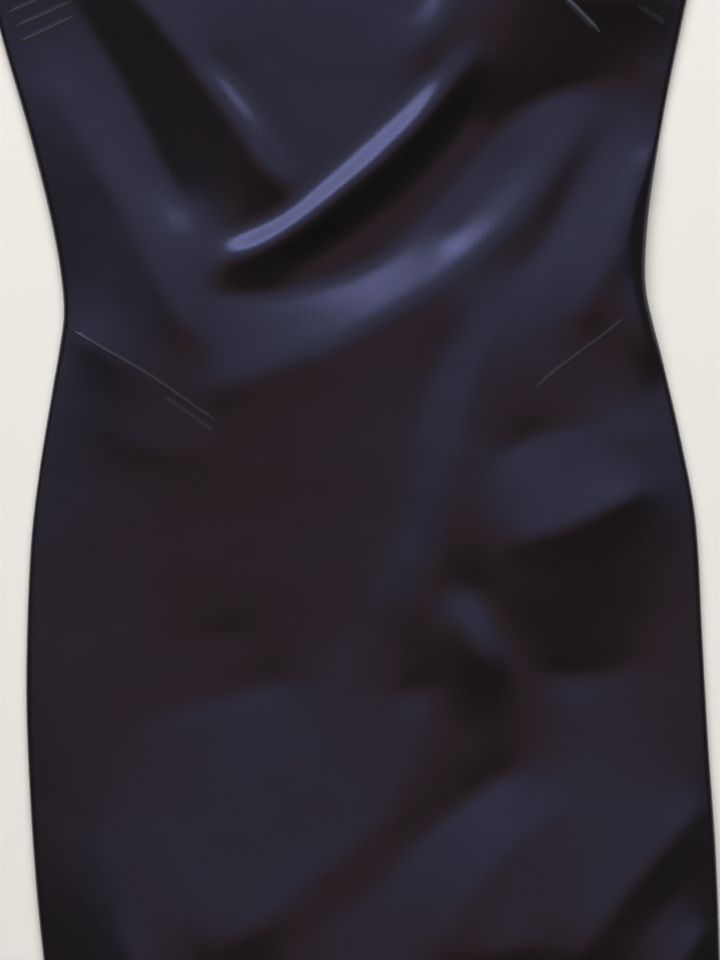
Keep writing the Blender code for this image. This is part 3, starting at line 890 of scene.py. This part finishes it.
for side, name in ((-1, "back_hem_left"), (1, "back_hem_right")):
    hem_ends = [float(side_half(up, side)) - HEM_SIDE for up in hem_rows]
    hem = add_piece(name, lay_on_back(side, hem_rows, 45, HEM_MIDDLE, hem_ends, HEM_CLEAR), [satin])
    thicken(hem, HEM_WALL)


# Edge stitching ===================================================================================
# The neckline and armholes are turned in narrowly and topstitched 5 mm from the edge, in polyester
# thread of the satin's colour, with stitches 2.4 mm long.

EDGE_IN = 5.0
EDGE_START = 6.0
NECK_STITCHED = 88.0
NECK_OPENING = 18.0
STITCH_LONG = 2.4
STITCH_PITCH = 3.1
STITCH_THICK = 0.5
STITCH_STANDS = 0.12
# A wave texture's scale at which each band is one unit wide.
WAVE_UNIT = 0.314


def thread_finish(name, colours):
    """Spun polyester thread: matt, with the twist of its plies, drawn 0.6 mm wide so that it shows."""
    finish, tree = empty_finish(name)
    plies = add_node(
        tree,
        "ShaderNodeTexWave",
        settings=[("Scale", WAVE_UNIT), ("Distortion", 0.4)],
        links=[("Vector", millimetres(tree, (0.6, 0.6, 0.6)))],
    )
    bump = add_node(
        tree,
        "ShaderNodeBump",
        settings=[("Strength", 0.5), ("Distance", 0.05 * MM)],
        links=[("Height", plies.outputs["Fac"])],
    )
    dye = add_node(
        tree,
        "ShaderNodeMixRGB",
        settings=[("Color1", srgb(colours[0])), ("Color2", srgb(colours[1]))],
        links=[("Fac", plies.outputs["Fac"])],
    )
    shader = add_node(
        tree,
        "ShaderNodeBsdfPrincipled",
        settings=[("Roughness", 0.6), ("Specular IOR Level", 0.4)],
        links=[
            ("Base Color", dye.outputs["Color"]),
            ("Normal", bump.outputs["Normal"]),
        ],
    )
    add_node(tree, "ShaderNodeOutputMaterial", links=[("Surface", shader.outputs["BSDF"])])
    return finish


thread = thread_finish("polyester_thread", ("#141318", "#24222c"))


def sew(name, lines, surface, thick=STITCH_THICK):
    """A row of stitches along each line, each a small round-ended bead sunk a little in the cloth."""
    mesh = bmesh.new()
    for stations in lines:
        line, heading = even_line(stations, STITCH_PITCH)
        for point, way in zip(line, heading):
            level = surface_height(surface, *point)
            ahead = surface_height(surface, *(point + way))
            behind = surface_height(surface, *(point - way))
            if min(level, ahead, behind) <= 0:
                continue
            slope = min(max((ahead - behind) / 2, -1), 1)
            along = Vector((way[0], way[1], slope)).normalized()
            aside = Vector((-way[1], way[0], 0))
            turn = Matrix((along, aside, along.cross(aside))).transposed()
            size = Matrix.Diagonal((STITCH_LONG / 2, thick / 2, thick / 2)) * MM
            middle = Matrix.Translation(scene_point(*point, level + thick * STITCH_STANDS))
            place = middle @ (turn @ size).to_4x4()
            bmesh.ops.create_uvsphere(mesh, u_segments=6, v_segments=4, radius=1, matrix=place)
    return add_piece(name, mesh, [thread])


def edge_line(edge_share, neck_up, roundness):
    """A line just inside a panel's left (share -1) or right (share 1) armhole."""
    points = [
        panel_point(edge_share, row, neck_up, roundness)
        for row in np.linspace(UNDERARM + EDGE_START, neck_up, 12)
    ]
    return [(across - math.copysign(EDGE_IN, edge_share), up) for across, up in points[:-1]]


def neck_line(neck_up, roundness, low, high):
    """A line just inside a neckline, between two distances from the centre."""
    line = []
    for across in np.linspace(low, high, 15):
        slope = roundness * (NECK_POINT_UP - neck_up) / NECK_HALF
        slope *= (abs(across) / NECK_HALF) ** (roundness - 1)
        length = math.hypot(1, slope)
        out = EDGE_IN / length
        up = top_edge(across, neck_up, roundness)
        line.append((across + math.copysign(out * slope, across), up - out))
    return line


front_neck = (FRONT_NECK_UP, FRONT_NECK_ROUND)
front_lines = [neck_line(*front_neck, -NECK_STITCHED, NECK_STITCHED)]
front_lines += [edge_line(side, *front_neck) for side in (-1, 1)]
sew("front_edge_stitching", front_lines, front_surface)
back_neck = (BACK_NECK_UP, BACK_NECK_ROUND)
back_lines = [neck_line(*back_neck, NECK_OPENING, NECK_STITCHED)]
back_lines += [neck_line(*back_neck, -NECK_STITCHED, -NECK_OPENING)]
back_lines += [edge_line(side, *back_neck) for side in (-1, 1)]
sew("back_edge_stitching", back_lines, back_surface)


# Zip tapes ========================================================================================
# Two tapes of woven polyester, 13 mm wide, sewn inside the centre-back seam so that the zip does not
# show outside. The weave has ribs along the tape, 1 mm apart, and a finer weft across them.

ZIP_TOP = 394.0
ZIP_BOTTOM = -126.0
TAPE_INNER = 2.0
TAPE_OUTER = 15.0
TAPE_WALL = 0.6
TAPE_CLEAR = 0.15
TAPE_RIB = 1.0
TAPE_WEFT = 0.8
TAPE_SEWN = 9.0
TAPE_THREAD = 0.45


def tape_finish(name, colours):
    """Woven polyester tape: ribs along it, crossed by a finer weft, without shine."""
    finish, tree = empty_finish(name)
    ribs = add_node(
        tree,
        "ShaderNodeTexWave",
        settings=[("bands_direction", "X"), ("Scale", WAVE_UNIT), ("Distortion", 0.6)],
        links=[("Vector", millimetres(tree, [TAPE_RIB] * 3))],
    )
    weft = add_node(
        tree,
        "ShaderNodeTexWave",
        settings=[("bands_direction", "Y"), ("Scale", WAVE_UNIT), ("Distortion", 0.3)],
        links=[("Vector", millimetres(tree, [TAPE_WEFT] * 3))],
    )
    weave = add_node(
        tree,
        "ShaderNodeMath",
        settings=[("operation", "MULTIPLY")],
        links=[(0, ribs.outputs["Fac"]), (1, weft.outputs["Fac"])],
    )
    bump = add_node(
        tree,
        "ShaderNodeBump",
        settings=[("Strength", 0.7), ("Distance", 0.1 * MM)],
        links=[("Height", weave.outputs[0])],
    )
    dye = add_node(
        tree,
        "ShaderNodeMixRGB",
        settings=[("Color1", srgb(colours[0])), ("Color2", srgb(colours[1]))],
        links=[("Fac", weave.outputs[0])],
    )
    shader = add_node(
        tree,
        "ShaderNodeBsdfPrincipled",
        settings=[("Roughness", 0.78), ("Specular IOR Level", 0.35), ("Sheen Weight", 0.15)],
        links=[
            ("Base Color", dye.outputs["Color"]),
            ("Normal", bump.outputs["Normal"]),
        ],
    )
    add_node(tree, "ShaderNodeOutputMaterial", links=[("Surface", shader.outputs["BSDF"])])
    return finish


tape_weave = tape_finish("woven_polyester_tape", ("#101014", "#22222b"))
tape_rows = np.linspace(ZIP_BOTTOM, ZIP_TOP, 131)
tape_ends = np.full(len(tape_rows), TAPE_OUTER)
tapes = []
for side, name in ((-1, "left"), (1, "right")):
    mesh = lay_on_back(side, tape_rows, 7, TAPE_INNER, tape_ends, TAPE_CLEAR)
    tape = add_piece("zip_tape_weave_" + name, mesh, [tape_weave], ["zip_tape_" + name])
    thicken(tape, TAPE_WALL)
    tapes.append(tape)
tape_surface = surface_of(tapes)
sewn_rows = np.linspace(ZIP_BOTTOM + 6, ZIP_TOP - 5, 40)
tape_lines = [[(side * TAPE_SEWN, up) for up in sewn_rows] for side in (-1, 1)]
sew("zip_tape_stitching", tape_lines, tape_surface, TAPE_THREAD)


# Zip coils ========================================================================================
# A coil of polyester monofilament sewn on each tape's inner edge. Its turns mesh with the other's,
# 1.6 mm apart, from the bottom stop up to the slider.

COIL_PITCH = 1.6
COIL_REACH = 0.9
COIL_BACK = 3.4
COIL_HIGH = 1.3
COIL_WIDE = 0.75
COIL_EDGE = 0.3
COIL_CLEAR = 0.05
COIL_SEWN = 3.0
PULL_UP = 386.8
SLIDER_LONG = 12.0


def filament_finish(name, colour):
    """Extruded polyester monofilament: smooth and half glossy."""
    finish, tree = empty_finish(name)
    worn = add_node(
        tree,
        "ShaderNodeTexNoise",
        settings=[("Scale", 1.0)],
        links=[("Vector", millimetres(tree, (6, 6, 6)))],
    )
    rough = add_node(
        tree,
        "ShaderNodeMapRange",
        settings=[("To Min", 0.28), ("To Max", 0.42)],
        links=[("Value", worn.outputs["Fac"])],
    )
    shader = add_node(
        tree,
        "ShaderNodeBsdfPrincipled",
        settings=[("Base Color", srgb(colour)), ("Specular IOR Level", 0.5)],
        links=[("Roughness", rough.outputs["Result"])],
    )
    add_node(tree, "ShaderNodeOutputMaterial", links=[("Surface", shader.outputs["BSDF"])])
    return finish


filament = filament_finish("polyester_monofilament", "#17171d")
coil_top = PULL_UP - SLIDER_LONG / 2 + 2
for side, name in ((-1, "left"), (1, "right")):
    mesh = bmesh.new()
    start = ZIP_BOTTOM + 4 + (0.5 * COIL_PITCH if side > 0 else 0)
    for up in np.arange(start, coil_top, COIL_PITCH):
        level = surface_height(back_surface, side * COIL_SEWN, up) + TAPE_CLEAR + TAPE_WALL
        made = bmesh.ops.create_cube(mesh, size=1)["verts"]
        middle = side * (COIL_BACK - COIL_REACH) / 2
        at = scene_point(middle, up, level + COIL_HIGH / 2 + COIL_CLEAR)
        bmesh.ops.scale(mesh, verts=made, vec=Vector((COIL_BACK + COIL_REACH, COIL_WIDE, COIL_HIGH)) * MM)
        bmesh.ops.translate(mesh, verts=made, vec=at)
    bmesh.ops.bevel(
        mesh,
        geom=[edge for edge in mesh.edges if abs(edge.verts[0].co.z - edge.verts[1].co.z) < 1e-6],
        offset=COIL_EDGE * MM,
        affect="EDGES",
        segments=1,
        profile=0.5,
        material=-1,
    )
    add_piece("zip_coil_" + name, mesh, [filament], [])


# Zip slider =======================================================================================
# A cast zinc slider in dark enamel, over the coils inside the dress. It is a channel, narrower at
# its lower end, with a bail that reaches out through the open top of the seam to hold the pull.

# The channel's section: distance from the middle, and height.
SLIDER_SECTION = [
    (-4.5, 0.0),
    (-4.5, 1.6),
    (-3.9, 2.2),
    (3.9, 2.2),
    (4.5, 1.6),
    (4.5, 0.0),
    (3.7, 0.0),
    (3.7, 1.25),
    (3.4, 1.5),
    (-3.4, 1.5),
    (-3.7, 1.25),
    (-3.7, 0.0),
]
SLIDER_FOOT = LIFT + SATIN_WALL + TAPE_CLEAR + TAPE_WALL + SEAM_GAP
SLIDER_NARROW = 0.74
SLIDER_EDGE = 0.14
BAIL_WIDTH = 1.2
BAIL_LEG = 1.2
BAIL_SPAN = 2.4
BAIL_BAR = 0.5
BAIL_ROOT = 1.7
PEEL = 1.5


def enamel_finish(name, colour):
    """Baked enamel on cast zinc: smooth and glossy, with a faint orange peel of 1.5 mm."""
    finish, tree = empty_finish(name)
    peel = add_node(
        tree,
        "ShaderNodeTexNoise",
        settings=[("Scale", 1.0), ("Detail", 1.0)],
        links=[("Vector", millimetres(tree, [PEEL] * 3))],
    )
    rough = add_node(
        tree,
        "ShaderNodeMapRange",
        settings=[("To Min", 0.18), ("To Max", 0.3)],
        links=[("Value", peel.outputs["Fac"])],
    )
    bump = add_node(
        tree,
        "ShaderNodeBump",
        settings=[("Strength", 0.15), ("Distance", 0.1 * MM)],
        links=[("Height", peel.outputs["Fac"])],
    )
    shader = add_node(
        tree,
        "ShaderNodeBsdfPrincipled",
        settings=[("Base Color", srgb(colour)), ("Coat Weight", 0.5), ("Coat Roughness", 0.12)],
        links=[("Roughness", rough.outputs["Result"]), ("Normal", bump.outputs["Normal"])],
    )
    add_node(tree, "ShaderNodeOutputMaterial", links=[("Surface", shader.outputs["BSDF"])])
    return finish


enamel = enamel_finish("zip_enamel", "#16171f")


def push_faces(mesh, faces, way):
    """Give flat faces a depth, pushed a given way."""
    grown = bmesh.ops.extrude_face_region(mesh, geom=faces)["geom"]
    verts = [item for item in grown if isinstance(item, bmesh.types.BMVert)]
    bmesh.ops.translate(mesh, verts=verts, vec=way)


def extrude_outline(mesh, points, way):
    """A solid from a flat outline, pushed a given way."""
    face = mesh.faces.new([mesh.verts.new(point) for point in points])
    push_faces(mesh, [face], way)


mesh = bmesh.new()
low_up = PULL_UP - SLIDER_LONG / 2
section = [scene_point(across, low_up, SLIDER_FOOT + height) for across, height in SLIDER_SECTION]
extrude_outline(mesh, section, Vector((0, SLIDER_LONG, 0)) * MM)
for vert in mesh.verts:
    if vert.co.y < scene_point(0, PULL_UP, 0).y:
        vert.co.x *= SLIDER_NARROW
legs = [PULL_UP - BAIL_LEG, PULL_UP, PULL_UP + BAIL_SPAN, PULL_UP + BAIL_SPAN + BAIL_LEG]
inside = SLIDER_FOOT + BAIL_ROOT
bail = [(legs[0], 0), (legs[3], 0), (legs[3], inside), (legs[2], inside)]
bail += [(legs[2], BAIL_BAR), (legs[1], BAIL_BAR), (legs[1], inside), (legs[0], inside)]
bail_points = [scene_point(-BAIL_WIDTH / 2, up, height) for up, height in bail]
extrude_outline(mesh, bail_points, Vector((BAIL_WIDTH * MM, 0, 0)))
bmesh.ops.recalc_face_normals(mesh, faces=mesh.faces)
bmesh.ops.bevel(
    mesh,
    geom=mesh.edges[:],
    offset=SLIDER_EDGE * MM,
    affect="EDGES",
    segments=2,
    profile=0.5,
    material=-1,
)
add_piece("zip_slider_body", mesh, [enamel], ["zip_slider"])


# Zip pull =========================================================================================
# A thin tab of cast zinc in the same enamel, outside under the back, with an eye that hangs on the
# slider's bail. It lies flat along the seam.

PULL_LENGTH = 26.0
PULL_TOP_HALF = 2.6
PULL_END_HALF = 3.6
EYE_LONG = 1.5
EYE_WIDE = 1.1
PULL_EDGE = 0.18
PULL_SIDES = 32
top = PULL_UP + BAIL_SPAN - 0.4
eye_up = PULL_UP - 1.1


def add_ring(mesh, points):
    """A closed loop of edges through points, which lie level."""
    verts = [mesh.verts.new(scene_point(*point, PULL_HEIGHT)) for point in points]
    return [mesh.edges.new(pair) for pair in zip(verts, verts[1:] + verts[:1])]


ends = [(top - PULL_TOP_HALF, PULL_TOP_HALF, 0), (top - PULL_LENGTH, PULL_END_HALF, np.pi)]
rim = [
    (half * np.cos(start + turn), up + half * np.sin(start + turn))
    for up, half, start in ends
    for turn in np.linspace(0, np.pi, PULL_SIDES // 2)
]
eye = [
    (EYE_WIDE * np.cos(turn), eye_up + EYE_LONG * np.sin(turn))
    for turn in np.linspace(0, 2 * np.pi, PULL_SIDES, endpoint=False)
]
mesh = bmesh.new()
bmesh.ops.bridge_loops(mesh, edges=add_ring(mesh, rim) + add_ring(mesh, eye))
push_faces(mesh, mesh.faces[:], Vector((0, 0, PULL_WALL * MM)))
bmesh.ops.recalc_face_normals(mesh, faces=mesh.faces)
pull = add_piece("zip_pull_tab", mesh, [enamel], ["zip_pull"])
rounded = pull.modifiers.new("edges", "BEVEL")
rounded.width = PULL_EDGE * MM
rounded.segments = 2
rounded.limit_method = "ANGLE"


# Zip stops ========================================================================================
# Small clamps of the same enamelled zinc, which end the coils: one on each tape above the slider, and
# one across both below.

# Place across and up, width and length.
STOPS = [(-2.6, 393.2, 2.6, 1.6), (2.6, 393.2, 2.6, 1.6), (0, ZIP_BOTTOM + 2.4, 7.4, 2.6)]
STOP_HIGH = 1.5
STOP_CLEAR = 0.05
STOP_EDGE = 0.35

mesh = bmesh.new()
for across, up, wide, long in STOPS:
    foot = surface_height(back_surface, across or COIL_SEWN, up) + TAPE_CLEAR + TAPE_WALL
    made = bmesh.ops.create_cube(mesh, size=1)["verts"]
    bmesh.ops.scale(mesh, verts=made, vec=Vector((wide, long, STOP_HIGH)) * MM)
    at = scene_point(across, up, foot + STOP_HIGH / 2 + STOP_CLEAR)
    bmesh.ops.translate(mesh, verts=made, vec=at)
bmesh.ops.bevel(
    mesh,
    geom=mesh.edges[:],
    offset=STOP_EDGE * MM,
    affect="EDGES",
    segments=2,
    profile=0.5,
    material=-1,
)
add_piece("zip_stops", mesh, [enamel], [])


# Table and light ==================================================================================
# The dress lies on plain pale paper. Beyond its neck end stands a long soft window, dimmer at its
# foot; a dim ceiling and a weak warm lamp straight above fill the cloth that faces up.

FLOOR_HALF = 4.0
FLOOR_DROP = 0.2
CAMERA_TURN = math.radians(2.39)

floor_mesh = bmesh.new()
bmesh.ops.create_grid(floor_mesh, x_segments=1, y_segments=1, size=FLOOR_HALF)
floor_data = bpy.data.meshes.new("floor")
floor_mesh.to_mesh(floor_data)
floor = bpy.data.objects.new("floor", floor_data)
floor.location.z = -FLOOR_DROP * MM
bpy.context.scene.collection.objects.link(floor)
paper = bpy.data.materials.new("paper")
paper.use_nodes = True
paper_inputs = paper.node_tree.nodes["Principled BSDF"].inputs
paper_inputs["Base Color"].default_value = srgb("#d1cfca")
paper_inputs["Roughness"].default_value = 0.9
paper_inputs["Specular IOR Level"].default_value = 0.1
floor_data.materials.append(paper)

world = bpy.data.worlds.new("room")
world.use_nodes = True
world_inputs = world.node_tree.nodes["Background"].inputs
world_inputs["Color"].default_value = (1, 1, 1, 1)
world_inputs["Strength"].default_value = 0.03
bpy.context.scene.world = world


def add_light(name, at, aim, size, power, colour=(1, 1, 1)):
    """A soft rectangular light that the camera doesn't see."""
    light = bpy.data.lights.new(name, "AREA")
    light.shape = "RECTANGLE"
    light.size, light.size_y = size
    light.energy = power
    light.color = colour
    lamp = bpy.data.objects.new(name, light)
    lamp.location = at
    lamp.rotation_euler = (Vector(aim) - Vector(at)).to_track_quat("-Z", "Y").to_euler()
    lamp.visible_camera = False
    bpy.context.scene.collection.objects.link(lamp)


add_light("window", (-0.3, 3.62, 4.71), (0, 0, 0), (10.0, 0.92), 345)
add_light("window_foot", (-0.3, 4.51, 3.87), (0, 0, 0), (10.0, 1.55), 370)
add_light("ceiling", (0, 1.2, 4.4), (0, 0, 0), (8.0, 2.1), 57)
add_light("overhead", (0.4, -0.36, 4.0), (0.4, -0.36, 0), (3.4, 0.8), 9, (1, 0.42, 0.28))

# The camera looks straight down, turned a little, so that the dress's neck end leans to the left.
camera_data = bpy.data.cameras.new("camera")
camera_data.lens = 200
camera_data.sensor_width = 36
camera = bpy.data.objects.new("camera", camera_data)
camera.matrix_world = Matrix.Translation((-0.002, -0.050, 3.543)) @ Matrix.Rotation(-CAMERA_TURN, 4, "Z")
bpy.context.scene.collection.objects.link(camera)
bpy.context.scene.camera = camera
bpy.context.scene.view_settings.view_transform = "Standard"
